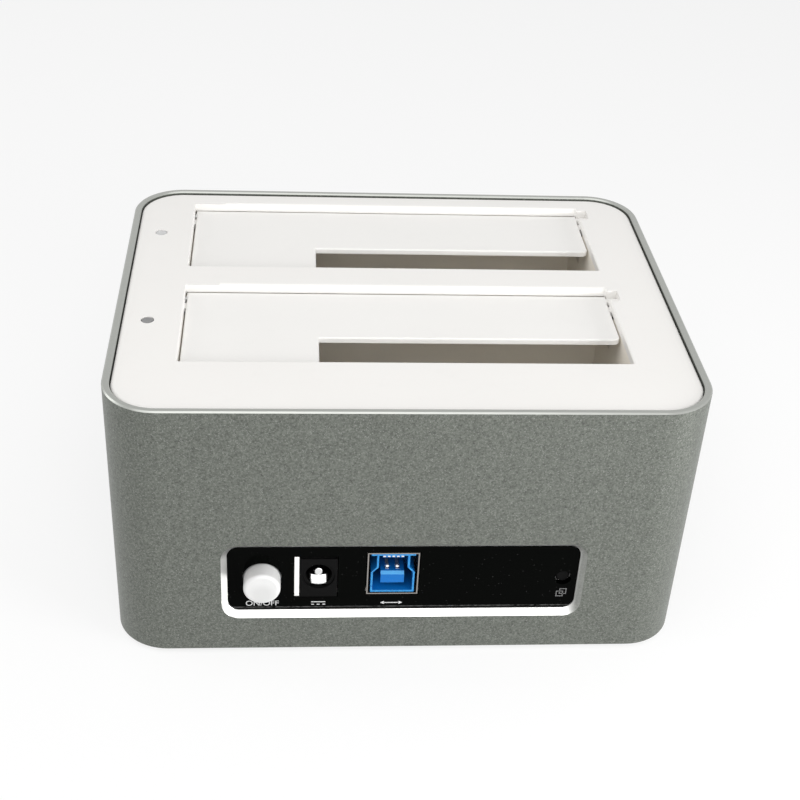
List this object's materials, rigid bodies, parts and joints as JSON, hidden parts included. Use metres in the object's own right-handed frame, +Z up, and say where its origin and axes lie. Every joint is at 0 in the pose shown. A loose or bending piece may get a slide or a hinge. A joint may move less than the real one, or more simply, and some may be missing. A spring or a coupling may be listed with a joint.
{
  "type": "hard drive docking station",
  "caption": "Dual-bay drive dock: aluminium sleeve, white top with sprung hinged flaps over SATA sockets, and a recessed port panel with power button, DC and USB sockets.",
  "frame": {"origin": "on the desk, under the middle of the footprint, which takes in the power button where it stands out of the front", "axes": "+X to the right along the port panel, +Y from the port panel towards the back, +Z up out of the drive bays"},
  "size_m": [0.1348, 0.1098, 0.0693],
  "materials": {
    "anodised_aluminium": "satin anodised, fine grain",
    "white_plastic": "warm white, fine satin",
    "flap_plastic": "warm white, fine satin",
    "black_gloss": "polished black",
    "frosted_plastic": "frosted, slightly translucent",
    "black_plastic": "satin black",
    "white_plunger": "satin white",
    "rubber": "matt black",
    "zinc_steel": "zinc plated",
    "spring_steel": "bright drawn wire",
    "circuit_board": "green solder mask",
    "socket_shell": "tin plated sheet",
    "blue_plastic": "moulded blue",
    "gold_plate": "gold plated",
    "clear_plastic": "clear moulding",
    "lamp_resin": "clear resin over a chip",
    "ferrite": "sintered grey",
    "can_aluminium": "bright drawn can"
  },
  "bodies": {
    "root": {"base_tray": "white_plastic", "board_screws": "zinc_steel", "bridge_chip": "black_plastic", "case_screws": "zinc_steel", "clock_crystal": "zinc_steel", "copy_switch_body": "black_plastic", "cradle_screws": "zinc_steel", "dc_jack_body": "black_plastic", "dc_jack_contact": "socket_shell", "dc_jack_pin": "socket_shell", "drive_well_front": "white_plastic", "drive_well_rear": "white_plastic", "filter_capacitors": "can_aluminium", "flap_spring_front": "spring_steel", "flap_spring_rear": "spring_steel", "foot_front_left": "rubber", "foot_front_right": "rubber", "foot_rear_left": "rubber", "foot_rear_right": "rubber", "hinge_pin_front": "zinc_steel", "hinge_pin_rear": "zinc_steel", "indicator_led_front": "lamp_resin", "indicator_led_rear": "lamp_resin", "light_pipe_front": "clear_plastic", "light_pipe_rear": "clear_plastic", "main_board": "circuit_board", "memory_chip": "black_plastic", "outer_sleeve": "anodised_aluminium", "port_panel": "black_gloss", "power_inductors": "ferrite", "power_switch_body": "black_plastic", "sata_contacts_front": "gold_plate", "sata_contacts_rear": "gold_plate", "sata_socket_front": "black_plastic", "sata_socket_rear": "black_plastic", "top_cover": "white_plastic", "usb_contacts": "gold_plate", "usb_insulator": "blue_plastic", "usb_socket_shell": "socket_shell", "voltage_regulators": "black_plastic"},
    "flap_front": {"flap_front": "flap_plastic"},
    "flap_rear": {"flap_rear": "flap_plastic"},
    "power_button": {"power_button": "frosted_plastic", "power_plunger": "white_plunger"},
    "copy_button": {"copy_button": "black_plastic"}
  },
  "joints": [
    {"name": "flap_front_hinge", "type": "hinge", "parent": "root", "child": "flap_front", "pos_m": [0, 0.00135, 0.0657], "axis": [1, 0, 0], "range_deg": [0, 90], "stiffness_Nm_per_rad": 0.01, "springref_deg": -28.65, "deforming": ["flap_spring_front"]},
    {"name": "flap_rear_hinge", "type": "hinge", "parent": "root", "child": "flap_rear", "pos_m": [0, 0.04535, 0.0657], "axis": [1, 0, 0], "range_deg": [0, 90], "stiffness_Nm_per_rad": 0.01, "springref_deg": -28.65, "deforming": ["flap_spring_rear"]},
    {"name": "power_button_push", "type": "slide", "parent": "root", "child": "power_button", "axis": [0, 1, 0], "range_m": [0, 0.0025], "stiffness_N_per_m": 800, "springref_m": -0.0005},
    {"name": "copy_button_push", "type": "slide", "parent": "root", "child": "copy_button", "axis": [0, 1, 0], "range_m": [0, 0.0003], "stiffness_N_per_m": 5000, "springref_m": -0.0001}
  ]
}
